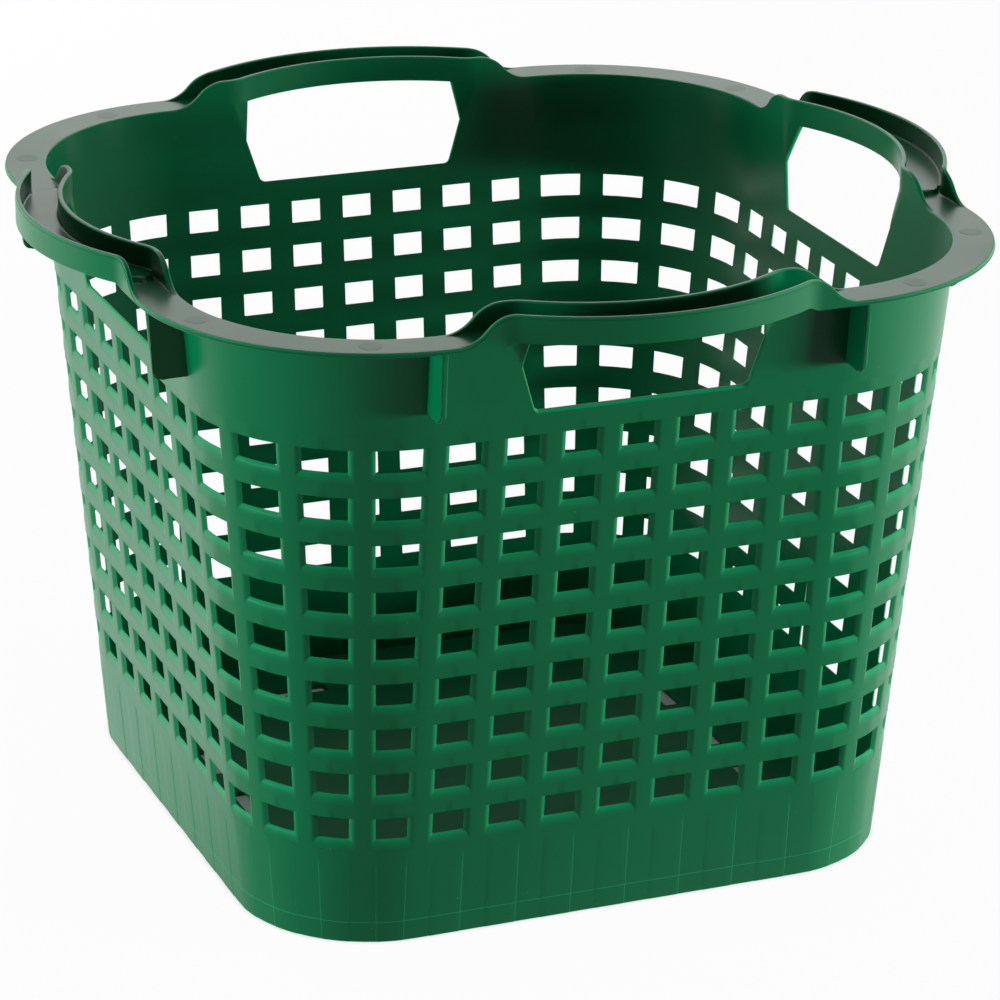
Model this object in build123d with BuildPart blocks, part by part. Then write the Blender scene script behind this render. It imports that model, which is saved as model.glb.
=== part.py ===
from build123d import *
import os
from math import cos, radians, sin, sqrt

# A square stacking basket, moulded in one shot of plastic with a straight pull: the wall leans out
# all the way up, and every hole is flared so that the two halves of the mould slide apart.
# Millimetres, +Z up, origin at the centre of the foot. The front is -Y.
# The regions of the moulding are separate solids that meet face to face.

# Plan: flat sides that are a whole number of lattice columns long, and round corners
column_pitch = 28.0
side_columns = 7
corner_columns = 4
foot_radius = 65.3
wall_lean = 0.0889
wall = 2.0

# Heights, from the foot upwards
floor_thickness = 3.0
skirt_height = 48.9
row_pitch = 23.3
rows = 9
collar_height = 47.2
flange = 2.2
lip_height = 12.9

# Lattice holes: a square head, flared cheeks and a sill that falls outwards
hole_width = 15.4
hole_height = 11.4
hole_head = 6.2
cheek_flare = 2.0
sill_drop = 4.6
bar_face = 6.4

# Drain slots in the floor
slot_length = 30.0
slot_width = 9.0
slot_pitch = 54.0
slots_per_side = 3
slot_offset = 26.0

# Hand-holes, one in the collar of each side
hand_sill = 6.1
hand_knee = 28.1
sill_half = 52.0
knee_half = 59.0
brow_half = 56.0

# Rim flange and the bowed channel grips over the hand-holes
flange_overhang = 18.2
bow_rise = 19.9
inner_bow = 110.4
channel_width = 17.5
lip = 2.4
bow_blend = 16.0
grip_floor = 2.2
channel_half = 74.0
flange_end = 72.0
lip_sweep = 28.0
lip_toe = 0.8

# Gusset ribs under the flange, a pair to each side
rib_past_side = 4.4
rib_thickness = 2.8
rib_depth = 34.6
rib_setback = 2.4
rib_corner = 4.0

cut_over = 0.5

# Worked out from the sizes above
flat_half = column_pitch * side_columns / 2
lattice_top = skirt_height + row_pitch * rows
flange_top = lattice_top + collar_height
flange_under = flange_top - flange
lip_top = flange_top + lip_height
along_wall = sqrt(1 + wall_lean**2)
bar = column_pitch - hole_width
half_sector = 90 / corner_columns / 2

sides = {"back": 0, "left": 90, "front": 180, "right": 270}
corners = {"back_right": 0, "back_left": 90, "front_left": 180, "front_right": 270}

# Section planes: across the back side, and through the axis of the back right corner
side_plane = Plane(origin=(0, flat_half, 0), x_dir=(0, 1, 0), z_dir=(1, 0, 0))
corner_plane = Plane(origin=(flat_half, flat_half, 0), x_dir=(1, 0, 0), z_dir=(0, -1, 0))
corner_axis = Axis((flat_half, flat_half, 0), (0, 0, 1))


def radius(height):
    return foot_radius + wall_lean * height


flange_radius = radius(flange_top) + flange_overhang
wall_inside = flat_half + radius(flange_top) - wall
flange_edge = flat_half + flange_radius
bow_centre = wall_inside + bow_rise - inner_bow
outer_bow = inner_bow + lip + channel_width
lip_full_half = flat_half - lip_sweep


def section(plane, *points):
    with BuildSketch(plane) as profile:
        with BuildLine():
            Polyline(*points, close=True)
        make_face()
    return profile.sketch


def wall_section(plane, low, high):
    return section(
        plane,
        (radius(low) - wall, low),
        (radius(low), low),
        (radius(high), high),
        (radius(high) - wall, high),
    )


def write(piece, name):
    piece.label = name
    export_step(piece, f"parts/{name}.step")


def write_turned(piece, stem, places):
    for place, turn in places.items():
        with BuildPart() as turned:
            with Locations(Rotation(0, 0, turn)):
                add(piece)
        write(turned.part, f"{stem}_{place}")


os.makedirs("parts", exist_ok=True)

# Below the collar the wall turns each corner in flat strips: narrow ones that carry the bars, all
# of one width, and wider ones between them, so that the holes widen upwards.
def bar_plane(number):
    out = Vector(1, 0, 0).rotate(Axis.Z, 2 * half_sector * number)
    return Plane(
        origin=Vector(flat_half, flat_half, 0) + out * foot_radius,
        x_dir=(-out.Y, out.X, 0),
        z_dir=out - Vector(0, 0, wall_lean),
    )


def window_plane(column, height):
    out = Vector(1, 0, 0).rotate(Axis.Z, half_sector * (2 * column + 1))
    reach = radius(height) * cos(radians(half_sector)) + bar_face / 2 * sin(radians(half_sector))
    return Plane(
        origin=Vector(flat_half, flat_half, height) + out * reach,
        x_dir=(out.Y, -out.X, 0),
        z_dir=out - Vector(0, 0, wall_lean * cos(radians(half_sector))),
    )


def corner_block(low, high, inset):
    with BuildPart() as block:
        with BuildSketch(Plane((flat_half, flat_half, low))):
            Rectangle(flange_radius, flange_radius, align=(Align.MIN, Align.MIN))
        extrude(amount=high - low)
        for number in range(corner_columns + 1):
            split(bisect_by=bar_plane(number).offset(-inset), keep=Keep.BOTTOM)
        for column in range(corner_columns):
            split(bisect_by=window_plane(column, low).offset(-inset), keep=Keep.BOTTOM)
    return block.part


def corner_wall(low, high):
    with BuildPart() as shell:
        add(corner_block(low, high, 0))
        add(corner_block(low, high, wall), mode=Mode.SUBTRACT)
    return shell.part


# Floor: a solid plate with a row of drain slots along each side
with BuildPart() as floor_quarter:
    side_plate = section(
        side_plane,
        (-flat_half, 0),
        (radius(0) - wall, 0),
        (radius(floor_thickness) - wall, floor_thickness),
        (-flat_half, floor_thickness),
    )
    extrude(side_plate, amount=flat_half, both=True)
    add(corner_block(0, floor_thickness, wall))
with BuildPart() as floor:
    with PolarLocations(0, 4):
        add(floor_quarter.part)
    with BuildSketch():
        with PolarLocations(flat_half + slot_offset, 4):
            with GridLocations(0, slot_pitch, 1, slots_per_side):
                Rectangle(slot_width, slot_length)
    extrude(amount=floor_thickness, mode=Mode.SUBTRACT)
write(floor.part, "floor")

# Skirt: the plain foot of the wall
with BuildPart() as skirt_side:
    extrude(wall_section(side_plane, 0, skirt_height), amount=flat_half, both=True)
write_turned(skirt_side.part, "skirt_side", sides)
write_turned(corner_wall(0, skirt_height), "skirt_corner", corners)


# One lattice hole, cut inwards from the outer face (z = 0), its square head along y = 0
def hole(half):
    def cheek(depth):
        return half + cheek_flare * (1 + depth / wall)

    def sill(depth):
        return (-hole_height - sill_drop * (1 + depth / wall)) * along_wall

    outside = cut_over
    inside = -wall - cut_over
    across = section(
        Plane.XZ,
        (-cheek(outside), outside),
        (cheek(outside), outside),
        (cheek(inside), inside),
        (-cheek(inside), inside),
    )
    upright = section(
        Plane.YZ, (0, outside), (sill(outside), outside), (sill(inside), inside), (0, inside)
    )
    with BuildPart() as cutter:
        extrude(across, amount=row_pitch, both=True)
        extrude(upright, amount=2 * half, both=True, mode=Mode.INTERSECT)
    return cutter.part


# Lattice side: a flat panel with rows and columns of holes
middle_height = (skirt_height + lattice_top) / 2
panel_face = Plane(
    origin=(0, flat_half + radius(middle_height), middle_height),
    x_dir=(-1, 0, 0),
    z_dir=(0, 1, -wall_lean),
)
with BuildPart() as lattice_side:
    extrude(wall_section(side_plane, skirt_height, lattice_top), amount=flat_half, both=True)
    with Locations(panel_face):
        with GridLocations(column_pitch, row_pitch * along_wall, side_columns, rows):
            with Locations((0, (row_pitch / 2 - hole_head) * along_wall)):
                add(hole(hole_width / 2), mode=Mode.SUBTRACT)
write_turned(lattice_side.part, "lattice_side", sides)


# Lattice corners: the columns of holes go on round the corner, each between the middles of two bars
with BuildPart() as lattice_corner:
    add(corner_wall(skirt_height, lattice_top))
    for column in range(corner_columns):
        for row in range(rows):
            head = lattice_top - row * row_pitch - hole_head
            spread = radius(head - hole_height / 2) * sin(radians(half_sector))
            with Locations(window_plane(column, head)):
                add(hole(spread - bar / 2 * cos(radians(half_sector))), mode=Mode.SUBTRACT)
for column in range(corner_columns):
    with BuildPart() as lattice_column:
        add(lattice_corner.part)
        for number, kept in ((column, Keep.TOP), (column + 1, Keep.BOTTOM)):
            along = Vector(0, 1, 0).rotate(Axis.Z, 2 * half_sector * number)
            split(bisect_by=Plane((flat_half, flat_half, 0), z_dir=along), keep=kept)
    write_turned(lattice_column.part, f"lattice_column_{column + 1}", corners)

# Collar side: the plain wall above the lattice, open at the hand-hole. Beside the top of the
# hand-hole the wall folds outwards along a slanted line to meet the bow of the grip.
sill_height = lattice_top + hand_sill
knee_height = lattice_top + hand_knee
brow_reach = bow_centre + sqrt((inner_bow + lip) ** 2 - brow_half**2)
with BuildPart() as collar_quarter:
    extrude(wall_section(side_plane, lattice_top, flange_top), amount=flat_half, both=True)
    with BuildSketch(Plane.XZ.offset(-flat_half)):
        with BuildLine():
            Polyline(
                (-flange_end, flange_top),
                (-knee_half, knee_height),
                (-sill_half, sill_height),
                (sill_half, sill_height),
                (knee_half, knee_height),
                (flange_end, flange_top),
                close=True,
            )
        make_face()
    extrude(amount=-flange_radius, mode=Mode.SUBTRACT)
    for hand in (-1, 1):
        knee = Vector(hand * knee_half, flat_half + radius(knee_height), knee_height)
        shoulder = Vector(hand * flange_end, flat_half + radius(flange_top), flange_top)
        brow = Vector(hand * brow_half, brow_reach, flange_top)
        fold = Plane(origin=knee, x_dir=shoulder - knee, z_dir=(shoulder - knee).cross(brow - knee))
        with BuildSketch(fold):
            with BuildLine():
                Polyline(*(fold.to_local_coords(point) for point in (knee, shoulder, brow)), close=True)
            make_face()
        extrude(amount=wall, dir=(0, -1, 0))
    revolve(wall_section(corner_plane, lattice_top, flange_top), corner_axis, 90)
with BuildPart() as collar:
    with PolarLocations(0, 4):
        add(collar_quarter.part)
write(collar.part, "collar")

# Flange: flat round the corners and on to the ends of the grips
flange_profile = (
    (radius(flange_under), flange_under),
    (flange_radius, flange_under),
    (flange_radius, flange_top),
    (radius(flange_top), flange_top),
)
with BuildPart() as flange_corner:
    revolve(section(corner_plane, *flange_profile), corner_axis, 90)
    extrude(section(corner_plane, *flange_profile), amount=flat_half - flange_end)
    extrude(
        section(side_plane.offset(flange_end), *flange_profile),
        amount=flat_half - flange_end,
    )


# Grip: a channel that bows out over the hand-hole between two lips, whose ends sweep down
def bowed_outline(straight, bow, blend):
    half = sqrt(bow**2 - (straight - bow_centre) ** 2)
    with BuildSketch(Plane.XY.offset(flange_top)) as outline:
        with BuildLine():
            Polyline(
                (-half, straight),
                (-flat_half, straight),
                (-flat_half, 0),
                (flat_half, 0),
                (flat_half, straight),
                (half, straight),
            )
            ThreePointArc((half, straight), (0, bow_centre + bow), (-half, straight))
        make_face()
        waists = outline.vertices().filter_by(lambda v: abs(abs(v.X) - half) < cut_over)
        fillet(waists.filter_by(lambda v: v.Y > bow_centre), blend)
    return outline.sketch


inner_face = bowed_outline(wall_inside, inner_bow, bow_blend + lip)
inner_back = bowed_outline(wall_inside + lip, inner_bow + lip, bow_blend)
outer_back = bowed_outline(flange_edge - lip, outer_bow, bow_blend + lip)
outer_face = bowed_outline(flange_edge, outer_bow + lip, bow_blend)

with BuildPart() as grip:
    extrude(inner_back - inner_face, amount=lip_height)
    extrude(outer_face - outer_back, amount=lip_height)
    with BuildSketch(Plane.XZ.offset(-flat_half)):
        with BuildLine():
            toe = flange_top + lip_toe
            half_rise = (lip_top + toe) / 2
            half_run = (lip_full_half + flat_half) / 2
            for hand in (-1, 1):
                Line((hand * flat_half, flange_top), (hand * flat_half, toe))
                TangentArc(
                    (hand * flat_half, toe), (hand * half_run, half_rise), tangent=(-hand, 0)
                )
                TangentArc(
                    (hand * lip_full_half, lip_top), (hand * half_run, half_rise), tangent=(hand, 0)
                )
            Line((-lip_full_half, lip_top), (lip_full_half, lip_top))
            Line((-flat_half, flange_top), (flat_half, flange_top))
        make_face()
    extrude(amount=-flange_edge, mode=Mode.INTERSECT)
    with BuildSketch(Plane.XY.offset(flange_top)):
        add(outer_face - inner_face)
        Rectangle(2 * channel_half, 4 * flange_edge, mode=Mode.INTERSECT)
    extrude(amount=grip_floor)
with BuildPart() as rim:
    with PolarLocations(0, 4):
        add(flange_corner.part)
        add(grip.part)
write(rim.part, "rim")

# Gusset ribs: upright plates that carry the flange, seated on the round of the corner
rib_foot = flange_under - rib_depth
with BuildPart() as rib:
    with BuildSketch(side_plane.offset(flat_half + rib_past_side)):
        with BuildLine():
            Polyline(
                (radius(rib_foot) - wall, rib_foot),
                (flange_radius - rib_setback - wall_lean * rib_depth, rib_foot),
                (flange_radius - rib_setback, flange_under),
                (radius(flange_under) - wall, flange_under),
                close=True,
            )
        blade = make_face()
        fillet(blade.vertices().group_by(Axis.Y)[0].sort_by(Axis.X)[-1], rib_corner)
    extrude(amount=rib_thickness / 2, both=True)
    add(collar.part, mode=Mode.SUBTRACT)
rib_outside = rib.solids().sort_by(Axis.Y)[-1]
with BuildPart() as ribs:
    add(rib_outside)
    mirror(rib_outside, about=Plane.YZ)
write_turned(ribs.part, "ribs", sides)
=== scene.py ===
import bmesh
import bpy
from math import cos, pi, radians, sin, sqrt
from mathutils import Matrix, Vector


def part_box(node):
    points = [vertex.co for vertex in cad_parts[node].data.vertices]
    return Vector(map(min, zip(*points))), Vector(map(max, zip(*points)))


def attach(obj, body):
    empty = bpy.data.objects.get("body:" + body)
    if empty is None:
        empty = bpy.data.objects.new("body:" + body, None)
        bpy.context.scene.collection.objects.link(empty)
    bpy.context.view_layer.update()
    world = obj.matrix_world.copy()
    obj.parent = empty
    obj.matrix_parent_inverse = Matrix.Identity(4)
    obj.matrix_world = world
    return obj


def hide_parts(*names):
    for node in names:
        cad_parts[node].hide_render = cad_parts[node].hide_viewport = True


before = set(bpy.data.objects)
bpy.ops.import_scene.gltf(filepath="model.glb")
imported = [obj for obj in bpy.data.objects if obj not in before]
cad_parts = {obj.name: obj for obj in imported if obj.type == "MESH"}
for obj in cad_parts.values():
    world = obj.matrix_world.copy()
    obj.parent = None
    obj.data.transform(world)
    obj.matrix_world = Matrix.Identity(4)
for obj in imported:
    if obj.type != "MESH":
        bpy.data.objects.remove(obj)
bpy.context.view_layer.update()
mm = 0.001  # sizes below are in millimetres, meshes in metres
print("frame loaded:", len(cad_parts), "nodes")


# Main sizes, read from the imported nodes
def nodeBox(name):
    low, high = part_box(name)
    return low / mm, high / mm


skirtLow, skirtHigh = nodeBox("skirt_side_back")
latticeHigh = nodeBox("lattice_side_back")[1]
sideHalf = skirtHigh.x
skirtTop = skirtHigh.z
latticeTop = latticeHigh.z
wallTop = nodeBox("collar")[1].z
lipTop = nodeBox("rim")[1].z
floorTop = nodeBox("floor")[1].z
ribFoot = nodeBox("ribs_back")[0].z
wallLean = (latticeHigh.y - skirtHigh.y) / (latticeTop - skirtTop)
footRadius = skirtHigh.y - wallLean * skirtTop - sideHalf
wallThick = sideHalf + footRadius - skirtLow.y

sides = ("back", "left", "front", "right")
corners = ("back_right", "back_left", "front_left", "front_right")


def wallRadius(z):
    return footRadius + wallLean * z


def smoothStep(low, high, value):
    t = min(max((value - low) / (high - low), 0), 1)
    return t * t * (3 - 2 * t)


# Adds one node, with its settings and what its inputs hold or are linked to
def addNode(tree, kind, inputs=None, **settings):
    node = tree.nodes.new(kind)
    for name, value in settings.items():
        setattr(node, name, value)
    for name, value in (inputs or {}).items():
        if isinstance(value, bpy.types.NodeSocket):
            tree.links.new(value, node.inputs[name])
        else:
            node.inputs[name].default_value = value
    return node


def hexColour(code):
    parts = [int(code[i:i + 2], 16) / 255 for i in (1, 3, 5)]
    return tuple(c / 12.92 if c <= 0.04045 else ((c + 0.055) / 1.055) ** 2.4 for c in parts) + (1,)


# Moulded polypropylene: a satin green, a little cloudy, with a painted highlight on edges, sills and lines
# and painted shade along weld lines, with a fine grain and a few specks of dust
plastic = {
    "body": "#026c42",
    "deep": "#02643c",
    "cloudSize": 45.0,
    "cloudDetail": 3.0,
    # colour of the painted highlight on edges, sills, track edges and the parting line
    "paintedHighlight": "#17a066",
    "highlightShare": 0.95,
    # colour of the painted shade along the weld lines
    "weldShade": "#014a2a",
    "weldShadeShare": 0.5,
    "dust": "#5f9a80",
    "dustSpacing": 9.0,
    "dustSize": 0.28,
    "dustCore": 0.6,
    "dustShare": 0.7,
    "roughness": 0.3,
    "floorRoughness": 0.62,
    "pinRoughness": 0.34,
    "roughnessSwing": 0.04,
    "grainSize": 0.8,
    "grainDetail": 2.0,
    "grainStrength": 0.06,
    "grainDepth": 0.1,
    "refraction": 1.40,
}


def mouldedPolypropylene(name, roughness):
    material = bpy.data.materials.new(name)
    material.use_nodes = True
    tree = material.node_tree
    shader = tree.nodes["Principled BSDF"]
    place = addNode(tree, "ShaderNodeTexCoord").outputs["Object"]
    clouds = addNode(tree, "ShaderNodeTexNoise", {
        "Vector": place, "Scale": 1 / (plastic["cloudSize"] * mm), "Detail": plastic["cloudDetail"],
    }).outputs["Fac"]
    colour = addNode(tree, "ShaderNodeMix", {
        "Factor": clouds, "A": hexColour(plastic["deep"]), "B": hexColour(plastic["body"]),
    }, data_type="RGBA")
    # tone above 0 mixes in the painted highlight, below 0 the painted shade of the weld lines
    tone = addNode(tree, "ShaderNodeAttribute", attribute_name="tone").outputs["Fac"]
    highlightAmount = addNode(tree, "ShaderNodeMapRange", {"Value": tone, "To Max": plastic["highlightShare"]})
    paintedHighlight = addNode(tree, "ShaderNodeMix", {
        "Factor": highlightAmount.outputs["Result"], "A": colour.outputs["Result"], "B": hexColour(plastic["paintedHighlight"]),
    }, data_type="RGBA")
    # below 0, tone darkens the colour with painted shade along the weld lines
    shadeAmount = addNode(tree, "ShaderNodeMapRange", {
        "Value": tone, "From Max": -1.0, "To Max": plastic["weldShadeShare"],
    })
    weldShaded = addNode(tree, "ShaderNodeMix", {
        "Factor": shadeAmount.outputs["Result"], "A": paintedHighlight.outputs["Result"], "B": hexColour(plastic["weldShade"]),
    }, data_type="RGBA")
    dust = addNode(tree, "ShaderNodeTexVoronoi", {
        "Vector": place, "Scale": 1 / (plastic["dustSpacing"] * mm),
    }).outputs["Distance"]
    speckRadius = plastic["dustSize"] / plastic["dustSpacing"]
    speck = addNode(tree, "ShaderNodeMapRange", {
        "Value": dust, "From Min": speckRadius, "From Max": plastic["dustCore"] * speckRadius,
        "To Max": plastic["dustShare"],
    }).outputs["Result"]
    dusted = addNode(tree, "ShaderNodeMix", {
        "Factor": speck, "A": weldShaded.outputs["Result"], "B": hexColour(plastic["dust"]),
    }, data_type="RGBA")
    tree.links.new(dusted.outputs["Result"], shader.inputs["Base Color"])
    swing = plastic["roughnessSwing"]
    gloss = addNode(tree, "ShaderNodeMapRange", {
        "Value": clouds, "To Min": roughness - swing, "To Max": roughness + swing,
    }).outputs["Result"]
    tree.links.new(gloss, shader.inputs["Roughness"])
    grain = addNode(tree, "ShaderNodeTexNoise", {
        "Vector": place, "Scale": 1 / (plastic["grainSize"] * mm), "Detail": plastic["grainDetail"],
    }).outputs["Fac"]
    relief = addNode(tree, "ShaderNodeBump", {
        "Height": grain, "Strength": plastic["grainStrength"], "Distance": plastic["grainDepth"] * mm,
    })
    tree.links.new(relief.outputs["Normal"], shader.inputs["Normal"])
    shader.inputs["IOR"].default_value = plastic["refraction"]
    return material


mould = mouldedPolypropylene("mouldedPolypropylene", plastic["roughness"])
scuffed = mouldedPolypropylene("scuffedPolypropylene", plastic["floorRoughness"])  # the floor, dulled by use
pressed = mouldedPolypropylene("pressedPolypropylene", plastic["pinRoughness"])  # under the ejector pins
print("materials made")


joinWithin = 0.002  # points closer than this are one point
thinnest = 0.001  # edges shorter than this are closed up
roundMiddle = 0.3  # how far in the middle of a round edge lies, as a share of its radius
roundWeight = 0.9  # how strongly a quarter round is drawn towards its corner


# Finishes a mesh as a piece: one closed shell, faces outwards, soft edges, and the nodes it stands for
def makePiece(name, mesh, nodes, sharp, finish=mould):
    shell = bmesh.new()
    shell.from_mesh(mesh)
    bmesh.ops.remove_doubles(shell, verts=shell.verts, dist=joinWithin * mm)
    bmesh.ops.dissolve_degenerate(shell, edges=shell.edges, dist=thinnest * mm)
    bmesh.ops.recalc_face_normals(shell, faces=shell.faces)
    openEdges = sum(not edge.is_manifold for edge in shell.edges)
    shell.to_mesh(mesh)
    shell.free()
    mesh.shade_smooth()
    mesh.set_sharp_from_angle(angle=radians(sharp))
    mesh.materials.clear()
    mesh.materials.append(finish)
    piece = bpy.data.objects.new(name, mesh)
    bpy.context.collection.objects.link(piece)
    normals = piece.modifiers.new("softEdges", "WEIGHTED_NORMAL")
    normals.keep_sharp = True
    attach(piece, "root")
    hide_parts(*nodes)
    print(name, "faces", len(mesh.polygons), "open edges", openEdges)
    return piece


def meshOf(name, points, faces):
    mesh = bpy.data.meshes.new(name)
    mesh.from_pydata([Vector(p) * mm for p in points], [], faces)
    return mesh


# How much painted light each point has: 1 is a painted highlight on an edge, below 0 painted shade along a
# weld line
def setTone(mesh, tones):
    mesh.attributes.new("tone", "FLOAT", "POINT").data.foreach_set("value", tones)


# Joins a closed ring of closed sections, each with as many points
def ringMesh(name, sections):
    count = len(sections[0])
    points = [point for section in sections for point in section]
    faces = []
    for i in range(len(sections)):
        here, there = i * count, (i + 1) % len(sections) * count
        for j in range(count):
            k = (j + 1) % count
            faces.append((here + j, here + k, there + k, there + j))
    return meshOf(name, points, faces)


def quarterTurn(point, quarter):
    return Matrix.Rotation(-quarter * pi / 2, 3, "Z") @ Vector(point)


# The lattice: columns of holes that go on round the corners. Each hole has a square head; its cheeks and
# sill are rolled, given as (distance from the clear hole, depth below the outer face) from outside to inside.
# A weld line of painted shade runs from the hole's head to the row above.
lattice = {
    "sideColumns": 7,
    "cornerColumns": 4,
    "rows": 9,
    "holeWidth": 15.4,
    "holeHeight": 11.4,
    "headDrop": 6.2,
    "cheek": ((3.0, 0), (2.4, 0.1), (1.75, 0.32), (1.1, 0.7), (0.35, 1.35), (0, 1.75)),
    "sill": ((5.2, 0), (3.4, 0.13), (2.0, 0.34), (1.05, 0.62), (0.35, 1.02), (0, 1.75)),
    "corner": (1.5, 1.2, 0.9, 0.7, 0.5, 0.45),
    "cornerSlant": 0.6,
    "innerEdge": 0.25,
    "witnessRise": 0.3,
    "witnessSunk": 0.14,
    "weldHalf": 2.6,
    # painted highlight on the sills and on the cheeks' edges, from outside to inside
    "sillTone": (0, 0.1, 0.25, 0.5, 0.9, 1.0),
    "cheekTone": (0, 0, 0.05, 0.15, 0.35, 0.6),
    # painted shade along the weld line: at the hole's head, at the witness line and at the row above
    "weldShadeTone": (-1.0, -1.0, -0.25),
    "sharpAngle": 62.0,
}
columnPitch = 2 * sideHalf / lattice["sideColumns"]
columnTurn = pi / 2 / lattice["cornerColumns"]
quarterColumns = lattice["sideColumns"] + lattice["cornerColumns"]
columns = 4 * quarterColumns
rowPitch = (latticeTop - skirtTop) / lattice["rows"]


# A point of the wall, from its column, its distance from the middle of the column, and its depth
def wallPoint(column, along, z, depth):
    quarter, place = divmod(column, quarterColumns)
    out = wallRadius(z) - depth
    if place < lattice["sideColumns"]:
        x = columnPitch * (place + 0.5) - sideHalf + along
        return quarterTurn((x, sideHalf + out, z), quarter)
    # round a corner the bars keep their width and the holes take up the rest
    arcHalf = wallRadius(z) * columnTurn / 2
    holeHalf = lattice["holeWidth"] / 2
    if abs(along) <= holeHalf:
        arc = along * (arcHalf - columnPitch / 2 + holeHalf) / holeHalf
    else:
        arc = arcHalf - columnPitch / 2 + abs(along)
        arc = arc if along > 0 else -arc
    turn = columnTurn * (place - lattice["sideColumns"] + 0.5) + arc / wallRadius(z)
    return quarterTurn((sideHalf + out * sin(turn), sideHalf + out * cos(turn), z), quarter)


# Twelve places round a hole: 0 to 4 along its head, 5 and 6 round its lower right corner, 7 to 9 along its
# sill, 10 and 11 round its lower left corner
headPlaces = range(5)
headMiddle = 2
sillPlaces = range(6, 11)
lowPlaces = range(11, 4, -1)


def cellRing(half, low, high, corner):
    weldShade = lattice["weldHalf"]
    foot = half - lattice["cornerSlant"] * corner
    head = [(-half, high), (-weldShade, high), (0, high), (weldShade, high), (half, high)]
    right = [(half, low + corner), (foot, low)]
    sill = [(weldShade, low), (0, low), (-weldShade, low)]
    left = [(-foot, low), (-half, low + corner)]
    return head + right + sill + left


# One hole and the wall round it, with the witness line of the mould level with its head
def latticeCell():
    half = lattice["holeWidth"] / 2
    head = rowPitch - lattice["headDrop"]
    sill = head - lattice["holeHeight"]
    edge = columnPitch / 2
    soft = lattice["innerEdge"]
    points, faces, tones = [], [], []

    def addPoint(x, y, depth, tone=0):
        points.append((x, y, -depth))
        tones.append(tone)
        return len(points) - 1

    def addRow(across, height, depth, weldShade):
        return [addPoint(x, height, depth, weldShade if x == 0 else 0) for x in across]

    def joinRows(first, second):
        for i in range(len(first) - 1):
            faces.append((first[i], first[i + 1], second[i + 1], second[i]))

    # rings from the outer face to the inner one
    rings = []
    rolls = zip(*(lattice[part] for part in ("cheek", "sill", "corner", "cheekTone", "sillTone")))
    for (wide, cheekDepth), (drop, sillDepth), corner, cheekTone, sillTone in rolls:
        ring = []
        for place, (x, y) in enumerate(cellRing(half + wide, sill - drop, head, corner)):
            # the sill and the cheeks get their painted highlight
            depth, tone = (sillDepth, sillTone) if place in sillPlaces else (cheekDepth, cheekTone)
            ring.append(addPoint(x, y, depth, tone))
        rings.append(ring)
    inner = cellRing(half + soft, sill - soft, head + soft, lattice["corner"][-1] + soft)
    rings.append([addPoint(x, y, wallThick) for x, y in inner])
    for first, second in zip(rings, rings[1:]):
        joinRows(first + first[:1], second + second[:1])

    # the flat wall round the hole: one skin outside, with the witness line and the painted shade of the weld
    # line, and one inside
    # painted shade along the weld line
    headShade, witnessShade, rowShade = lattice["weldShadeTone"]
    tones[rings[0][headMiddle]] = headShade
    witness = head + lattice["witnessRise"]
    outside = ((witness, lattice["witnessSunk"], witnessShade), (rowPitch, 0, rowShade))
    inside = ((rowPitch, 0, 0),)
    for ring, depth, levels in ((rings[0], 0, outside), (rings[-1], wallThick, inside)):
        headRow = [ring[place] for place in headPlaces]
        low = [ring[place] for place in lowPlaces]
        across = [-edge] + [points[place][0] for place in headRow] + [edge]
        level = points[headRow[0]][1]
        rows = [[addPoint(-edge, level, depth)] + headRow + [addPoint(edge, level, depth)]]
        rows += [addRow(across, height, depth + sunk, weldShade) for height, sunk, weldShade in levels]
        for lower, upper in zip(rows, rows[1:]):
            joinRows(lower, upper)
        foot = addRow(across, 0, depth, levels[-1][-1])
        # under the hole, from left to right
        faces.append((foot[0], foot[1], low[0], rows[0][1], rows[0][0]))
        faces.append((foot[1], foot[2], low[2], low[1], low[0]))
        faces.append((foot[2], foot[3], low[3], low[2]))
        faces.append((foot[3], foot[4], low[4], low[3]))
        faces.append((foot[4], foot[5], low[6], low[5], low[4]))
        faces.append((foot[5], foot[6], rows[0][6], rows[0][5], low[6]))
    mesh = meshOf("latticeCell", points, faces)
    setTone(mesh, tones)
    return mesh


# Rows and columns of the cell, laid out flat
def latticeTree():
    tree = bpy.data.node_groups.new("latticeTree", "GeometryNodeTree")
    sockets = tree.interface
    sockets.new_socket("Geometry", in_out="OUTPUT", socket_type="NodeSocketGeometry")
    for name, kind in (
        ("Cell", "Object"), ("Columns", "Int"), ("Rows", "Int"),
        ("Column pitch", "Float"), ("Row pitch", "Float"), ("Finish", "Material"),
    ):
        sockets.new_socket(name, in_out="INPUT", socket_type="NodeSocket" + kind)
    given = addNode(tree, "NodeGroupInput").outputs
    spans = []
    for number, pitch in (("Columns", "Column pitch"), ("Rows", "Row pitch")):
        gaps = addNode(tree, "ShaderNodeMath", {0: given[number], 1: 1.0}, operation="SUBTRACT")
        spans.append(addNode(tree, "ShaderNodeMath", {
            0: gaps.outputs[0], 1: given[pitch],
        }, operation="MULTIPLY").outputs[0])
    grid = addNode(tree, "GeometryNodeMeshGrid", {
        "Size X": spans[0], "Size Y": spans[1],
        "Vertices X": given["Columns"], "Vertices Y": given["Rows"],
    })
    cell = addNode(tree, "GeometryNodeObjectInfo", {"Object": given["Cell"], "As Instance": True})
    cells = addNode(tree, "GeometryNodeInstanceOnPoints", {
        "Points": grid.outputs["Mesh"], "Instance": cell.outputs["Geometry"],
    })
    real = addNode(tree, "GeometryNodeRealizeInstances", {"Geometry": cells.outputs["Instances"]})
    finish = addNode(tree, "GeometryNodeSetMaterial", {
        "Geometry": real.outputs["Geometry"], "Material": given["Finish"],
    })
    addNode(tree, "NodeGroupOutput", {"Geometry": finish.outputs["Geometry"]})
    return tree


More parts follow.
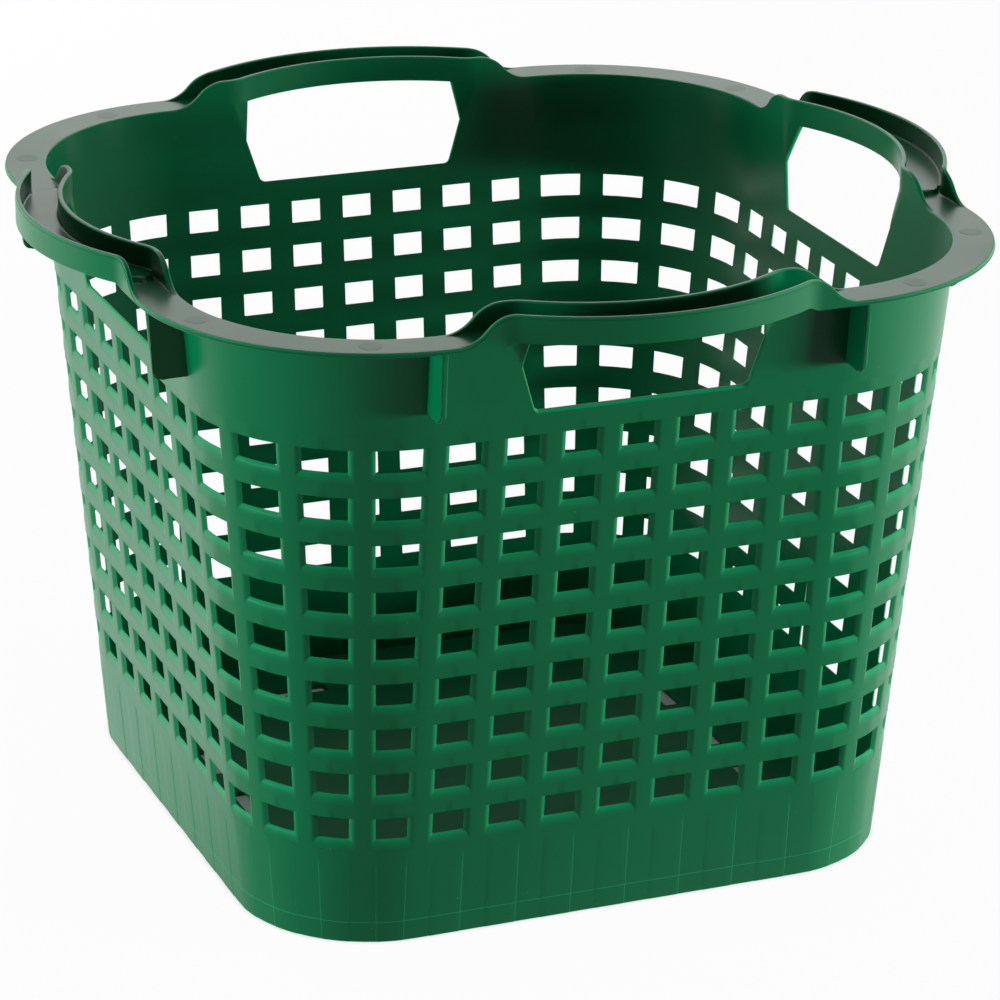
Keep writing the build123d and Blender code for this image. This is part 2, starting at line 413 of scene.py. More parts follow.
# Runs a tree on an empty mesh, with its named inputs, and gives back the plain mesh
def runTree(tree, name, values):
    carrier = bpy.data.objects.new(name, bpy.data.meshes.new(name))
    bpy.context.collection.objects.link(carrier)
    modifier = carrier.modifiers.new(name, "NODES")
    modifier.node_group = tree
    for item in tree.interface.items_tree:
        if item.in_out == "INPUT" and item.name in values:
            modifier[item.identifier] = values[item.name]
    graph = bpy.context.evaluated_depsgraph_get()
    mesh = bpy.data.meshes.new_from_object(carrier.evaluated_get(graph))
    bpy.data.objects.remove(carrier)
    return mesh


# Closes the flat wall's two long edges, from its outer to its inner skin
def capEdges(flat):
    shell = bmesh.new()
    shell.from_mesh(flat)
    bmesh.ops.remove_doubles(shell, verts=shell.verts, dist=joinWithin * mm)
    heights = [vertex.co.y for vertex in shell.verts]
    for height in (min(heights), max(heights)):
        row = [vertex for vertex in shell.verts if abs(vertex.co.y - height) < joinWithin * mm]
        row.sort(key=lambda vertex: vertex.co.x)
        outer = [vertex for vertex in row if vertex.co.z / mm > -wallThick / 2]
        inner = [vertex for vertex in row if vertex.co.z / mm < -wallThick / 2]
        for i in range(len(outer) - 1):
            shell.faces.new((outer[i], outer[i + 1], inner[i + 1], inner[i]))
    shell.to_mesh(flat)
    shell.free()


# The flat wall of cells, bent round the basket
def makeLattice():
    cell = bpy.data.objects.new("latticeCell", latticeCell())
    flat = runTree(latticeTree(), "latticeWall", {
        "Cell": cell, "Columns": columns, "Rows": lattice["rows"],
        "Column pitch": columnPitch * mm, "Row pitch": rowPitch * mm, "Finish": mould,
    })
    bpy.data.objects.remove(cell)
    capEdges(flat)
    leftEnd = -columns * columnPitch / 2
    lowRow = -(lattice["rows"] - 1) * rowPitch / 2
    for vertex in flat.vertices:
        x, y, out = (value / mm for value in vertex.co)
        column = min(max(int((x - leftEnd) / columnPitch), 0), columns - 1)
        along = x - leftEnd - columnPitch * (column + 0.5)
        vertex.co = wallPoint(column, along, skirtTop + y - lowRow, -out) * mm
    return flat


latticeMesh = makeLattice()
latticeNodes = [f"lattice_side_{side}" for side in sides]
latticeNodes += [
    f"lattice_column_{number + 1}_{corner}"
    for corner in corners for number in range(lattice["cornerColumns"])
]
makePiece("latticeWall", latticeMesh, latticeNodes, lattice["sharpAngle"])


# The skirt: plain, but for the faint tracks of the mould below each column and one parting line
skirt = {
    "trackHalf": 7.29,
    "trackEdge": 0.31,
    "trackLine": 0.4,
    # painted highlights on the tracks' edges and on the parting line
    "trackTone": 0.35,
    "trackProud": 0.18,
    "trackFade": (38.0, 45.0),
    "partingHeight": 10.8,
    "partingHalf": 0.35,
    "partingProud": 0.12,
    "partingTone": 0.7,
    "footRound": 0.9,
    "sharpAngle": 50.0,
}


# A section of the skirt's wall: from the foot up its outer face and down its inner one, with its painted
# highlights
def skirtSection(column, along, trackShare, highlightShare):
    parting = skirt["partingHeight"]
    half = skirt["partingHalf"]
    foot = skirt["footRound"]
    low, high = skirt["trackFade"]
    outer = [(0, foot), (roundMiddle * foot, roundMiddle * foot), (foot, 0)]
    outer += [(parting - half, 0), (parting, -skirt["partingProud"]), (parting + half, 0)]
    outer += [(low, 0), ((low + high) / 2, 0), (high, 0), (skirtTop, 0)]
    points, tones = [], []
    for z, depth in outer:
        fade = 1 - smoothStep(low, high, z)
        points.append(wallPoint(column, along, z, depth - skirt["trackProud"] * trackShare * fade))
        # the parting line and the tracks' edges get a painted highlight
        tones.append(skirt["partingTone"] if z == parting else skirt["trackTone"] * highlightShare * fade)
    points.append(wallPoint(column, along, skirtTop, wallThick))
    points.append(wallPoint(column, along, 0, wallThick))
    return points, tones + [0, 0]


def makeSkirt():
    near = skirt["trackHalf"]
    far = near + skirt["trackEdge"]
    beyond = far + skirt["trackLine"]
    # across a column: the distance from its middle, and the shares of the track's height and of its edge's
    # painted highlight
    places = ((-columnPitch / 2, 0, 0), (-beyond, 0, 0), (-far, 0, 1), (-near, 1, 0), (-near / 2, 1, 0))
    places += ((0, 1, 0), (near / 2, 1, 0), (near, 1, 0), (far, 0, 1), (beyond, 0, 0))
    made = [skirtSection(column, *place) for column in range(columns) for place in places]
    mesh = ringMesh("skirt", [points for points, tones in made])
    setTone(mesh, [tone for points, tones in made for tone in tones])
    return mesh


skirtNodes = [f"skirt_side_{side}" for side in sides] + [f"skirt_corner_{corner}" for corner in corners]
makePiece("skirt", makeSkirt(), skirtNodes, skirt["sharpAngle"])


# The rim: a flat flange that turns, over each hand-hole, into a channel between two lips and bows out
rim = {
    "overhang": 18.2,
    "flange": 2.2,
    "lip": 2.4,
    "bowRise": 19.9,
    "innerBow": 110.4,
    "channelWidth": 17.5,
    "bowBlend": 16.0,
    "gripFloor": 2.2,
    "lipSweep": 28.0,
    "underRise": (70.0, 76.0),
    "floorEnd": 68.5,
    "floorBulge": 5.5,
    "floorStep": 1.2,
    "floorShares": (0.12, 0.2, 0.3, 0.4, 0.5, 0.6, 0.7, 0.8, 0.88),
    "belowLip": 0.05,
    "edgeRound": 0.8,
    # painted highlight on the lips' top edges
    "edgeHighlight": 1.5,
    "channelRound": 1.3,
    "roundShare": 0.45,
    "underRound": 0.5,
    "underSteps": 3,
    "partingDrop": 1.45,
    "partingStep": 0.22,
    "stations": 150,
    "cornerSteps": 36,
    "sharpAngle": 40.0,
}
flangeUnder = wallTop - rim["flange"]
wallInside = sideHalf + wallRadius(wallTop) - wallThick
flangeEdge = sideHalf + wallRadius(wallTop) + rim["overhang"]
bowCentre = wallInside + rim["bowRise"] - rim["innerBow"]
lipHeight = lipTop - wallTop
outerBow = rim["innerBow"] + rim["lip"] + rim["channelWidth"]


# How far out a bowed line lies: straight, then a hollow blend, then the bow
def bowed(x, straight, bow, blend):
    x = abs(x)
    blendX = sqrt((bow + blend) ** 2 - (straight + blend - bowCentre) ** 2)
    if x >= blendX:
        return straight
    if x > blendX * bow / (bow + blend):
        return straight + blend - sqrt(blend ** 2 - (x - blendX) ** 2)
    return bowCentre + sqrt(bow ** 2 - x ** 2)


def innerFace(x):
    return bowed(x, wallInside, rim["innerBow"], rim["bowBlend"] + rim["lip"])


def innerBack(x):
    return bowed(x, wallInside + rim["lip"], rim["innerBow"] + rim["lip"], rim["bowBlend"])


def outerBack(x):
    return bowed(x, flangeEdge - rim["lip"], outerBow, rim["bowBlend"] + rim["lip"])


def outerFace(x):
    return bowed(x, flangeEdge, outerBow + rim["lip"], rim["bowBlend"])


# The ends of the lips sweep down in two equal arcs
def lipRise(x):
    halfRun = rim["lipSweep"] / 2
    halfRise = lipHeight / 2
    sweep = (halfRun ** 2 + halfRise ** 2) / (2 * halfRise)
    past = abs(x) - (sideHalf - rim["lipSweep"])
    if past <= 0:
        return lipHeight
    if past >= rim["lipSweep"]:
        return 0.0
    if past < halfRun:
        return lipHeight - sweep + sqrt(sweep ** 2 - past ** 2)
    return sweep - sqrt(sweep ** 2 - (rim["lipSweep"] - past) ** 2)


def underHeight(x):
    low, high = rim["underRise"]
    return wallTop - rim["flange"] * smoothStep(low, high, abs(x))


# Points on a quarter round from one tangent point to the next, about a corner
def quarterRound(start, corner, end, steps=4):
    points = []
    for i in range(steps + 1):
        t = i / steps
        a, b, c = (1 - t) ** 2, 2 * t * (1 - t) * roundWeight, t * t
        whole = a + b + c
        points.append(tuple((a * s + b * m + c * e) / whole for s, m, e in zip(start, corner, end)))
    return points


# A section of the rim at a place along a side, as (distance out, height, painted highlight): up the inner
# lip, along the channel, over the outer lip and back under the flange
def rimSection(x):
    rise = lipRise(x)
    top = wallTop + rise
    under = underHeight(x)
    inFace, inBack, outBack, outFace = innerFace(x), innerBack(x), outerBack(x), outerFace(x)
    edge = rim["edgeRound"]
    lipEdge = min(edge, rim["roundShare"] * rise)
    foot = min(rim["channelRound"], rim["roundShare"] * rise)
    # the lips' top edges get a painted highlight, less where the lips sweep down
    paintedHighlight = rim["edgeHighlight"]
    lipHighlight = paintedHighlight * rise / lipHeight
    step = rim["partingStep"]
    drop = rim["partingDrop"]
    underEdge = rim["underRound"]

    # the floor of the channel ends in a tongue
    def floorAt(share):
        bulge = rim["floorBulge"] * sqrt(max(1 - (2 * share - 1) ** 2, 0))
        end = rim["floorEnd"] + bulge
        lift = rim["gripFloor"] * (1 - smoothStep(end - rim["floorStep"], end, abs(x)))
        return wallTop + min(lift, max(rise - rim["belowLip"], 0))

    nearFloor, farFloor = floorAt(0), floorAt(1)
    points = [(inFace - wallLean * (wallTop - under), under, 0), (inFace, top - edge, 0)]
    points += quarterRound((inFace, top - edge, 0), (inFace, top, paintedHighlight), (inFace + edge, top, 0))[1:]
    points += quarterRound((inBack - lipEdge, top, 0), (inBack, top, lipHighlight), (inBack, top - lipEdge, 0))
    points += quarterRound(
        (inBack, nearFloor + foot, 0), (inBack, nearFloor, 0), (inBack + foot, nearFloor, 0)
    )
    for share in rim["floorShares"]:
        points.append((inBack + (outBack - inBack) * share, floorAt(share), 0))
    points += quarterRound(
        (outBack - foot, farFloor, 0), (outBack, farFloor, 0), (outBack, farFloor + foot, 0)
    )
    points += quarterRound((outBack, top - lipEdge, 0), (outBack, top, lipHighlight), (outBack + lipEdge, top, 0))
    # above the parting line the outer face is set back a little
    face = outFace - step
    points += quarterRound((face - edge, top, 0), (face, top, paintedHighlight), (face, top - edge, 0))
    points += [(face, top - drop + 0.5 * step, 0), (outFace, top - drop - 0.5 * step, 0)]
    points += quarterRound(
        (outFace, under + underEdge, 0), (outFace, under, 0), (outFace - underEdge, under, 0),
        rim["underSteps"],
    )
    points.append((inFace + wallThick - wallLean * (wallTop - under), under, 0))
    return points


def makeRim():
    sections, tones = [], []
    straight = rimSection(sideHalf)
    for quarter in range(4):
        for i in range(rim["stations"]):
            x = sideHalf * (2 * i / rim["stations"] - 1)
            section = rimSection(x)
            sections.append([quarterTurn((x, out, z), quarter) for out, z, tone in section])
            tones += [tone for out, z, tone in section]
        for i in range(rim["cornerSteps"]):
            turn = pi / 2 * i / rim["cornerSteps"]
            sections.append([
                quarterTurn((
                    sideHalf + (out - sideHalf) * sin(turn), sideHalf + (out - sideHalf) * cos(turn), z,
                ), quarter)
                for out, z, tone in straight
            ])
            tones += [tone for out, z, tone in straight]
    mesh = ringMesh("rim", sections)
    setTone(mesh, tones)
    return mesh


makePiece("rim", makeRim(), ["rim"], rim["sharpAngle"])


# The collar: the plain wall above the lattice, open at the hand-holes, folded out to meet the grips
collar = {
    "sillRise": 6.1,
    "kneeRise": 28.1,
    "sillHalf": 52.0,
    "kneeHalf": 59.0,
    "browHalf": 56.0,
    "sillCorner": 2.6,
    "sillFall": 1.5,
    "edgeRound": 0.75,
    # painted highlight over the hand-hole's rounded edge, from the outer face to the inner one
    "edgeHighlight": (0, 0.8, 1.0, 1.0, 0.8, 0),
    "foldSteps": 10,
    "topSteps": 8,
    "cornerSteps": 36,
    "sharpAngle": 12.0,
}
sillHeight = latticeTop + collar["sillRise"]
shoulderHalf = rim["underRise"][0]
kneeHeight = latticeTop + collar["kneeRise"]


# A point of the collar's side, on the outer face or further in, bent out past the crease of the fold
def collarPoint(x, z, depth):
    run = shoulderHalf - collar["kneeHalf"]
    crease = kneeHeight + (abs(x) - collar["kneeHalf"]) / run * (wallTop - kneeHeight)
    bend = 0
    if z > max(crease, kneeHeight) and abs(x) < shoulderHalf:
        shareIn = depth / wallThick
        outerReach = innerBack(x) - wallInside - rim["lip"]
        innerReach = innerFace(x) - wallInside
        reach = outerReach + shareIn * (innerReach - outerReach)
        bend = reach * (z - crease) / (wallTop - crease)
    return (x, sideHalf + wallRadius(z) - depth + bend, z)


# Right half of the hand-hole's edge, from the middle of the sill up to the grip
def handHoleEdge():
    sill, knee, brow = collar["sillHalf"], collar["kneeHalf"], collar["browHalf"]
    lean = Vector((knee - sill, kneeHeight - sillHeight)).normalized()
    corner = Vector((sill, sillHeight))
    cut = collar["sillCorner"]
    start = corner - Vector((cut, 0))
    end = corner + lean * cut
    edge = [Vector((0, sillHeight)), Vector((sill / 2, sillHeight))]
    edge += [Vector(p) for p in quarterRound(tuple(start), tuple(corner), tuple(end))]
    edge += [Vector((knee, kneeHeight))]
    steps = collar["foldSteps"]
    for i in range(1, steps + 1):
        edge.append(Vector((knee, kneeHeight)).lerp(Vector((brow, wallTop)), i / steps))
    return edge


# Directions across that edge, from the hole into the wall
def outwardNormals(edge):
    normals = []
    for i in range(len(edge)):
        before = edge[max(i - 1, 0)]
        after = edge[min(i + 1, len(edge) - 1)]
        along = (after - before).normalized()
        normals.append(Vector((along.y, -along.x)))
    return normals


def makeCollar():
    edge = handHoleEdge()
    normals = outwardNormals(edge)
    rounding = collar["edgeRound"]
    inside = wallThick - rounding
    # over the rounded edge, from the outer face to the inner one: how far back, and how deep
    roll = (
        (1.0, 0), (roundMiddle, roundMiddle * rounding), (0, rounding),
        (0, inside), (roundMiddle, wallThick - roundMiddle * rounding), (1.0, wallThick),
    )
    folds = collar["foldSteps"]
    kneePlace = len(edge) - 1 - folds
    shoulder = Vector((shoulderHalf, wallTop))
    low, high = rim["underRise"]
    topSteps = [high + (low - high) * i / collar["topSteps"] for i in range(collar["topSteps"])]
    border = [(0, latticeTop), (sideHalf, latticeTop), (sideHalf, flangeUnder)]
    border += [(x, underHeight(x)) for x in topSteps]
    shell = bmesh.new()
    paintedHighlight = shell.verts.layers.float.new("tone")

    def strip(first, second):
        for i in range(len(first) - 1):
            shell.faces.new((first[i], first[i + 1], second[i + 1], second[i]))

    def holeRow(back, depth):
        row = []
        for place, normal in zip(edge, normals):
            fall = collar["sillFall"] * max(-normal.y, 0) * (1 - depth / wallThick)
            spot = place + normal * back * rounding - Vector((0, fall))
            row.append(Vector((spot.x, min(spot.y, wallTop))))
        return row

    def addHalf(quarter, hand):
        def add(spot, depth, tone=0):
            vertex = shell.verts.new(quarterTurn(collarPoint(hand * spot[0], spot[1], depth), quarter) * mm)
            vertex[paintedHighlight] = tone
            return vertex

        rows = [holeRow(back, depth) for back, depth in roll]
        # the hand-hole's rounded edge gets its painted highlight
        made = [
            [add(spot, depth, tone) for spot in row]
            for row, (back, depth), tone in zip(rows, roll, collar["edgeHighlight"])
        ]
        for first, second in zip(made, made[1:]):
            strip(first, second)
        skins = []
        for row, depth in ((rows[0], 0), (rows[-1], wallThick)):
            brink = row[kneePlace:]
            crease = [shoulder.lerp(brink[0], i / folds) for i in range(folds + 1)]
            crown = [shoulder.lerp(brink[-1], i / folds) for i in range(folds + 1)]
            fold = []
            for j in range(folds + 1):
                line = [a.lerp(b, j / folds) for a, b in zip(crease[:-1], crown[:-1])] + [brink[j]]
                fold.append([add(spot, depth) for spot in line])
            for first, second in zip(fold, fold[1:]):
                strip(first, second)
            flat = [add(spot, depth) for spot in border + crease + row[kneePlace - 1::-1]]
            shell.faces.new(flat)
            skins.append((flat, fold[-1]))
        (outerFlat, outerCrown), (innerFlat, innerCrown) = skins
        last = len(border) + 1
        strip(outerFlat[:2], innerFlat[:2])
        strip(outerFlat[2:last], innerFlat[2:last])
        strip(outerCrown, innerCrown)
        shell.faces.new([row[-1] for row in made])

    def addCorner(quarter):
        turned = []
        section = ((0, latticeTop), (0, flangeUnder), (wallThick, flangeUnder), (wallThick, latticeTop))
        for depth, z in section:
            out = wallRadius(z) - depth
            line = []
            for i in range(collar["cornerSteps"] + 1):
                turn = pi / 2 * i / collar["cornerSteps"]
                spot = (sideHalf + out * sin(turn), sideHalf + out * cos(turn), z)
                line.append(shell.verts.new(quarterTurn(spot, quarter) * mm))
            turned.append(line)
        for i in range(len(turned)):
            strip(turned[i - 1], turned[i])

    for quarter in range(4):
        addHalf(quarter, -1)
        addHalf(quarter, 1)
        addCorner(quarter)
    mesh = bpy.data.meshes.new("collar")
    shell.to_mesh(mesh)
    shell.free()
    return mesh


makePiece("collar", makeCollar(), ["collar"], collar["sharpAngle"])


# What stands once in each quarter is repeated round the middle
def quarterTree():
    tree = bpy.data.node_groups.new("quarterTree", "GeometryNodeTree")
    sockets = tree.interface
    sockets.new_socket("Geometry", in_out="OUTPUT", socket_type="NodeSocketGeometry")
    for name, kind in (("Piece", "Object"), ("Copies", "Int"), ("Turn", "Float"), ("Finish", "Material")):
        sockets.new_socket(name, in_out="INPUT", socket_type="NodeSocket" + kind)
    given = addNode(tree, "NodeGroupInput").outputs
    spots = addNode(tree, "GeometryNodeMeshLine", {"Count": given["Copies"], "Offset": (0, 0, 0)})
    number = addNode(tree, "GeometryNodeInputIndex")
    turn = addNode(tree, "ShaderNodeMath", {0: number.outputs[0], 1: given["Turn"]}, operation="MULTIPLY")
    turns = addNode(tree, "ShaderNodeCombineXYZ", {"Z": turn.outputs[0]})
    piece = addNode(tree, "GeometryNodeObjectInfo", {"Object": given["Piece"], "As Instance": True})
    copies = addNode(tree, "GeometryNodeInstanceOnPoints", {
        "Points": spots.outputs["Mesh"], "Instance": piece.outputs["Geometry"], "Rotation": turns.outputs[0],
    })
    real = addNode(tree, "GeometryNodeRealizeInstances", {"Geometry": copies.outputs["Instances"]})
    finish = addNode(tree, "GeometryNodeSetMaterial", {
        "Geometry": real.outputs["Geometry"], "Material": given["Finish"],
    })
    addNode(tree, "NodeGroupOutput", {"Geometry": finish.outputs["Geometry"]})
    return tree


roundTheMiddle = quarterTree()


def fourTimes(name, mesh):
    pattern = bpy.data.objects.new(name + "Pattern", mesh)
    whole = runTree(roundTheMiddle, name, {"Piece": pattern, "Copies": 4, "Turn": pi / 2, "Finish": mould})
    bpy.data.objects.remove(pattern)
    return whole


# Gusset ribs under the flange, a pair to each side
rib = {
    "pastSide": 4.4,
    "thick": 2.8,
    "setback": 2.4,
    "corner": 4.0,
    "cornerSteps": 6,
    "intoWall": 1.2,
    "intoFlange": 0.5,
    "edge": 0.8,
    "edgeSteps": 3,
    "sharpAngle": 40.0,
}


def makeRibs():
    top = flangeUnder + rib["intoFlange"]
    topEnd = flangeEdge - rib["setback"]
    footEnd = topEnd - wallLean * (flangeUnder - ribFoot)
    topStart, footStart = (sideHalf + wallRadius(z) - rib["intoWall"] for z in (flangeUnder, ribFoot))
    cut = rib["corner"]
    cutStart = (footEnd - cut, ribFoot)
    cutEnd = (footEnd + cut * wallLean, ribFoot + cut)
    profile = [(topStart, top), (footStart, ribFoot)]
    profile += quarterRound(cutStart, (footEnd, ribFoot), cutEnd, rib["cornerSteps"])
    profile += [(topEnd, top)]
    shell = bmesh.new()
    for hand in (-1, 1):
        x = hand * (sideHalf + rib["pastSide"])
        plate = []
        for push in (-0.5, 0.5):
            verts = [shell.verts.new(Vector((x + push * rib["thick"], out, z)) * mm) for out, z in profile]
            plate.append(verts)
            shell.faces.new(verts if push > 0 else list(reversed(verts)))
        for i in range(len(profile)):
            k = (i + 1) % len(profile)
            shell.faces.new((plate[0][i], plate[0][k], plate[1][k], plate[1][i]))
    # the free edges of both flanks are rounded
    free = [
        edge for edge in shell.edges
        if abs(edge.verts[0].co.x - edge.verts[1].co.x) < thinnest * mm
        and max(vertex.co.y for vertex in edge.verts) / mm > sideHalf + wallRadius(ribFoot)
    ]
    bmesh.ops.bevel(
        shell, geom=free, offset=rib["edge"] * mm, segments=rib["edgeSteps"],
        affect="EDGES", clamp_overlap=True,
    )
    mesh = bpy.data.meshes.new("ribs")
    shell.to_mesh(mesh)
    shell.free()
    return fourTimes("ribs", mesh)


makePiece("ribs", makeRibs(), [f"ribs_{side}" for side in sides], rib["sharpAngle"])


# Faint round marks that the ejector pins leave on the flange, two to each corner
pinMark = {
    "radius": 5.4,
    "fromAxis": 100.0,
    "turns": (20.0, 70.0),
    "intoFlange": 0.3,
    "proud": 0.06,
    "edge": 0.12,
    "steps": 40,
    "sharpAngle": 40.0,
}


def makePinMarks():
    points, faces = [], []
    for turn in pinMark["turns"]:
        x = sideHalf + pinMark["fromAxis"] * sin(radians(turn))
        y = sideHalf + pinMark["fromAxis"] * cos(radians(turn))
        start = len(points)
        count = pinMark["steps"]
        levels = (
            (pinMark["radius"], -pinMark["intoFlange"]), (pinMark["radius"], pinMark["proud"] / 2),
            (pinMark["radius"] - pinMark["edge"], pinMark["proud"]),
        )
        for radius, up in levels:
            for i in range(count):
                a = 2 * pi * i / count
                points.append((x + radius * cos(a), y + radius * sin(a), wallTop + up))
        for level in range(len(levels) - 1):
            low = start + level * count
            for i in range(count):
                k = (i + 1) % count
                faces.append((low + i, low + k, low + count + k, low + count + i))
        faces.append(tuple(range(start + count - 1, start - 1, -1)))
        faces.append(tuple(range(len(points) - count, len(points))))
    return fourTimes("pinMarks", meshOf("pinMarks", points, faces))


makePiece("pinMarks", makePinMarks(), [], pinMark["sharpAngle"], pressed)


# The floor plate, with its drain slots
base = {
    "slotLength": 30.0,
    "slotWidth": 9.0,
    "slotPitch": 54.0,
    "slotsPerSide": 3,
    "slotOffset": 26.0,
    "slotCorner": 1.5,
    "slotSteps": 4,
    "edge": 0.5,
    "edgeSteps": 2,
    "intoWall": 0.6,
    "cornerSteps": 16,
    "sharpAngle": 40.0,
}


def roundedOutline(halfX, halfY, radius, steps):
    points = []
    for quarter, (signX, signY) in enumerate(((1, 1), (-1, 1), (-1, -1), (1, -1))):
        for i in range(steps + 1):
            a = pi / 2 * (quarter + i / steps)
            x = signX * (halfX - radius) + radius * cos(a)
            y = signY * (halfY - radius) + radius * sin(a)
            points.append((x, y))
    return points


def makeFloor():
    radius = footRadius - wallThick + base["intoWall"]
    outlines = [roundedOutline(sideHalf + radius, sideHalf + radius, radius, base["cornerSteps"])]
    slotX, slotY = base["slotLength"] / 2, base["slotWidth"] / 2
    slot = roundedOutline(slotX, slotY, base["slotCorner"], base["slotSteps"])
    for quarter in range(4):
        for i in range(base["slotsPerSide"]):
            along = (i - (base["slotsPerSide"] - 1) / 2) * base["slotPitch"]
            outlines.append([
                tuple(quarterTurn((along + x, sideHalf + base["slotOffset"] + y, 0), quarter)[:2])
                for x, y in slot
            ])
    plate = bpy.data.curves.new("floor", "CURVE")
    plate.dimensions = "2D"
    plate.fill_mode = "BOTH"
    plate.extrude = (floorTop / 2 - base["edge"]) * mm
    plate.bevel_depth = base["edge"] * mm
    plate.bevel_resolution = base["edgeSteps"]
    plate.offset = -base["edge"] * mm
    for outline in outlines:
        spline = plate.splines.new("POLY")
        spline.points.add(len(outline) - 1)
        spline.use_cyclic_u = True
        for point, (x, y) in zip(spline.points, outline):
            point.co = (x * mm, y * mm, 0, 1)
    carrier = bpy.data.objects.new("floorPlate", plate)
    bpy.context.collection.objects.link(carrier)
    graph = bpy.context.evaluated_depsgraph_get()
    mesh = bpy.data.meshes.new_from_object(carrier.evaluated_get(graph))
    bpy.data.objects.remove(carrier)
    mesh.transform(Matrix.Translation((0, 0, floorTop / 2 * mm)))
    return mesh


makePiece("floor", makeFloor(), ["floor"], base["sharpAngle"], scuffed)


# Studio: a white table and backdrop that mirror brighter behind the basket and to its right, soft boxes low
# at the sides and behind, a weak one overhead, and the photograph's camera. The floor, its glow and the boxes
# are in metres, floorShade and the camera in millimetres.
studio = {
    "floorHalf": 9.0,
    "floorColour": "#f4f4f2",
    "floorWhite": 0.96,
    "floorShade": (-8.0, 3.0),
    "floorGlow": (0.3, 1.0),
    "floorGlowFrom": {158: (-0.25, 0.1), 100: (0.25, 0.6)},
    "floorBounce": 0.06,
    "backdropGlow": (0.02, 0.85),
    "backdropGlowFrom": {158: (0.0, 0.6)},
    "backdropBounce": 0.02,
    "softBoxes": {
        "keyLeft": {"azimuth": 268, "elevation": 2, "width": 1.2, "height": 0.4, "power": 46},
        "fillRight": {"azimuth": 62, "elevation": 2, "width": 1.2, "height": 0.4, "power": 60},
        "overhead": {"azimuth": 60, "elevation": 78, "width": 1.2, "height": 1.2, "power": 4.5},
        "rearLeft": {"azimuth": 190, "elevation": 12, "width": 1.4, "height": 0.8, "power": 14},
        "rear": {"azimuth": 158, "elevation": 22, "width": 1.2, "height": 0.5, "power": 2, "mirrors": True},
    },
    "boxDistance": 2.0,
    "camera": {
        "azimuth": -22.295, "elevation": 20.955, "roll": 0.812, "distance": 2194.15,
        "target": (6.96, -2.85, 147.91), "lens": 159.62, "sensor": 36.0, "nearest": 50.0,
    },
}


def bearing(azimuth, elevation):
    a, e = radians(azimuth), radians(elevation)
    return Vector((sin(a) * cos(e), -cos(a) * cos(e), sin(e)))


# How bright the studio is: what mirrors in the plastic rises along each bearing given, what lights it is
# even, and where the camera looks at it, it is white
def studioGlow(tree, coordinate, glow, reaches, bounce):
    place = addNode(tree, "ShaderNodeTexCoord").outputs[coordinate]
    mirrored = glow[0]
    for azimuth, (near, far) in reaches.items():
        along = addNode(tree, "ShaderNodeVectorMath", {
            0: place, 1: bearing(azimuth, 0),
        }, operation="DOT_PRODUCT").outputs["Value"]
        rise = addNode(tree, "ShaderNodeMapRange", {
            "Value": along, "From Min": near, "From Max": far, "To Min": glow[0], "To Max": glow[1],
        }, interpolation_type="SMOOTHSTEP").outputs["Result"]
        mirrored = addNode(tree, "ShaderNodeMath", {0: mirrored, 1: rise}, operation="MAXIMUM").outputs[0]
    path = addNode(tree, "ShaderNodeLightPath")
    lit = addNode(tree, "ShaderNodeMix", {
        "Factor": path.outputs["Is Diffuse Ray"], "A": mirrored, "B": bounce,
    }).outputs["Result"]
    return addNode(tree, "ShaderNodeMix", {
        "Factor": path.outputs["Is Camera Ray"], "A": lit, "B": 1.0,
    }).outputs["Result"]


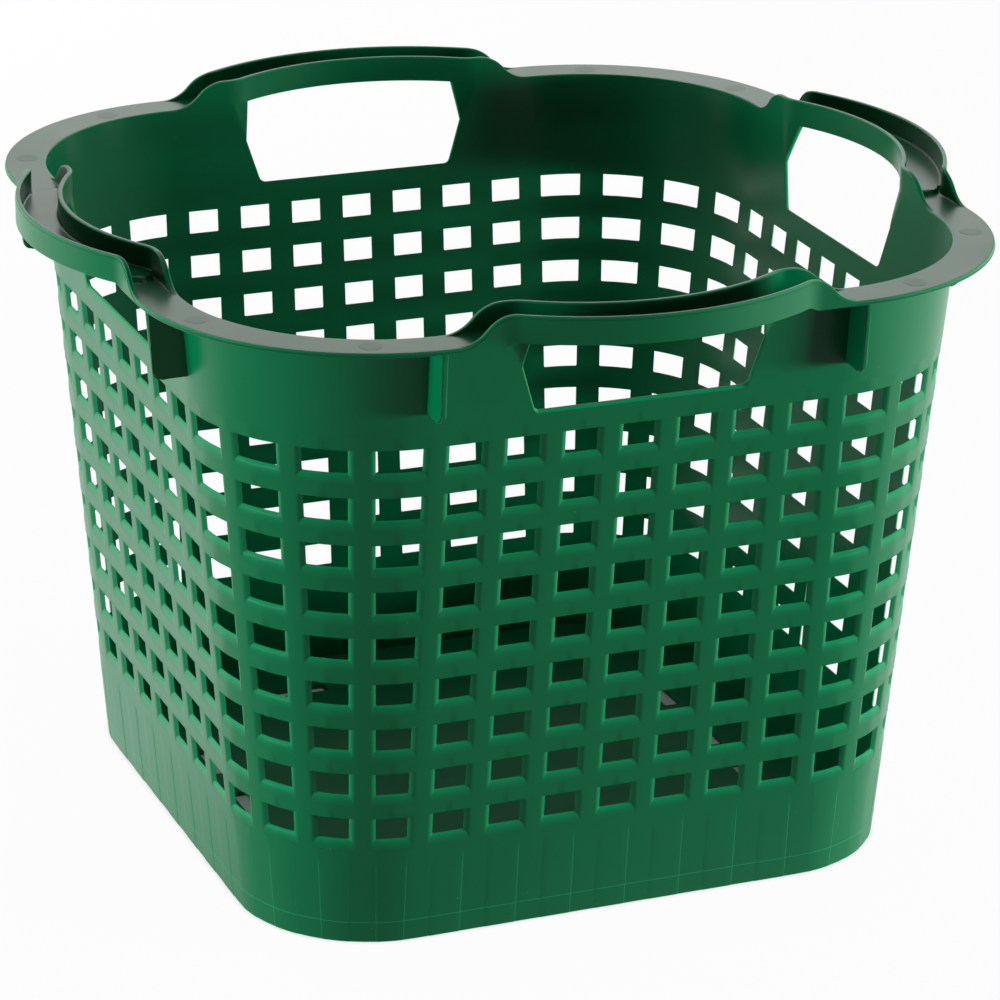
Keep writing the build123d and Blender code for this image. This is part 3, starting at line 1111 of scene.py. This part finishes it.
def makeFloorStage():
    half = studio["floorHalf"]
    mesh = bpy.data.meshes.new("studioFloor")
    square = [(-half, -half, 0), (half, -half, 0), (half, half, 0), (-half, half, 0)]
    mesh.from_pydata(square, [], [(0, 1, 2, 3)])
    ground = bpy.data.objects.new("studioFloor", mesh)
    bpy.context.collection.objects.link(ground)
    material = bpy.data.materials.new("studioFloor")
    material.use_nodes = True
    tree = material.node_tree
    tree.nodes.remove(tree.nodes["Principled BSDF"])
    light = addNode(tree, "ShaderNodeEmission", {
        "Strength": studioGlow(
            tree, "Object", studio["floorGlow"], studio["floorGlowFrom"], studio["floorBounce"]
        ),
    })
    paper = addNode(tree, "ShaderNodeBsdfDiffuse", {"Color": hexColour(studio["floorColour"])})
    # under the foot the floor is plain paper, in the shade of the basket
    place = addNode(tree, "ShaderNodeTexCoord").outputs["Object"]
    zero = (0, 0, 0)
    for operation, other in (("ABSOLUTE", zero), ("SUBTRACT", (sideHalf * mm,) * 3), ("MAXIMUM", zero)):
        place = addNode(tree, "ShaderNodeVectorMath", {
            0: place, 1: other,
        }, operation=operation).outputs["Vector"]
    away = addNode(tree, "ShaderNodeVectorMath", {0: place}, operation="LENGTH").outputs["Value"]
    inner, outer = studio["floorShade"]
    white = addNode(tree, "ShaderNodeMapRange", {
        "Value": away, "From Min": (footRadius + inner) * mm, "From Max": (footRadius + outer) * mm,
        "To Max": studio["floorWhite"],
    }, interpolation_type="SMOOTHSTEP").outputs["Result"]
    both = addNode(tree, "ShaderNodeMixShader", {0: white, 1: paper.outputs[0], 2: light.outputs[0]})
    tree.links.new(both.outputs[0], tree.nodes["Material Output"].inputs["Surface"])
    mesh.materials.append(material)


def makeWorld():
    world = bpy.data.worlds.new("studioWorld")
    bpy.context.scene.world = world
    world.use_nodes = True
    tree = world.node_tree
    glow = studioGlow(
        tree, "Generated", studio["backdropGlow"], studio["backdropGlowFrom"], studio["backdropBounce"]
    )
    tree.links.new(glow, tree.nodes["Background"].inputs["Strength"])
    tree.nodes["Background"].inputs["Color"].default_value = (1, 1, 1, 1)


def addSoftBox(name, box):
    light = bpy.data.lights.new(name, "AREA")
    light.shape = "RECTANGLE"
    light.size = box["width"]
    light.size_y = box["height"]
    light.energy = box["power"]
    lamp = bpy.data.objects.new(name, light)
    lamp.visible_glossy = box.get("mirrors", False)  # the others light the plastic without a bright patch
    bpy.context.collection.objects.link(lamp)
    middle = Vector((0, 0, lipTop / 2 * mm))
    towards = bearing(box["azimuth"], box["elevation"])
    lamp.location = middle + studio["boxDistance"] * towards
    lamp.rotation_euler = towards.to_track_quat("Z", "Y").to_euler()


def makeCamera():
    view = studio["camera"]
    roll = radians(view["roll"])
    away = bearing(view["azimuth"], view["elevation"])
    right = Vector((0, 0, 1)).cross(away).normalized()
    up = away.cross(right)
    across = right * cos(roll) + up * sin(roll)
    upward = up * cos(roll) - right * sin(roll)
    lens = bpy.data.cameras.new("photoCamera")
    lens.lens = view["lens"]
    lens.sensor_width = view["sensor"]
    lens.clip_start = view["nearest"] * mm
    camera = bpy.data.objects.new("photoCamera", lens)
    bpy.context.collection.objects.link(camera)
    camera.matrix_world = Matrix((across, upward, away)).transposed().to_4x4()
    camera.location = (Vector(view["target"]) + away * view["distance"]) * mm
    bpy.context.scene.camera = camera


makeFloorStage()
makeWorld()
for boxName, box in studio["softBoxes"].items():
    addSoftBox(boxName, box)
makeCamera()
bpy.context.scene.view_settings.view_transform = "Standard"
print("studio set")
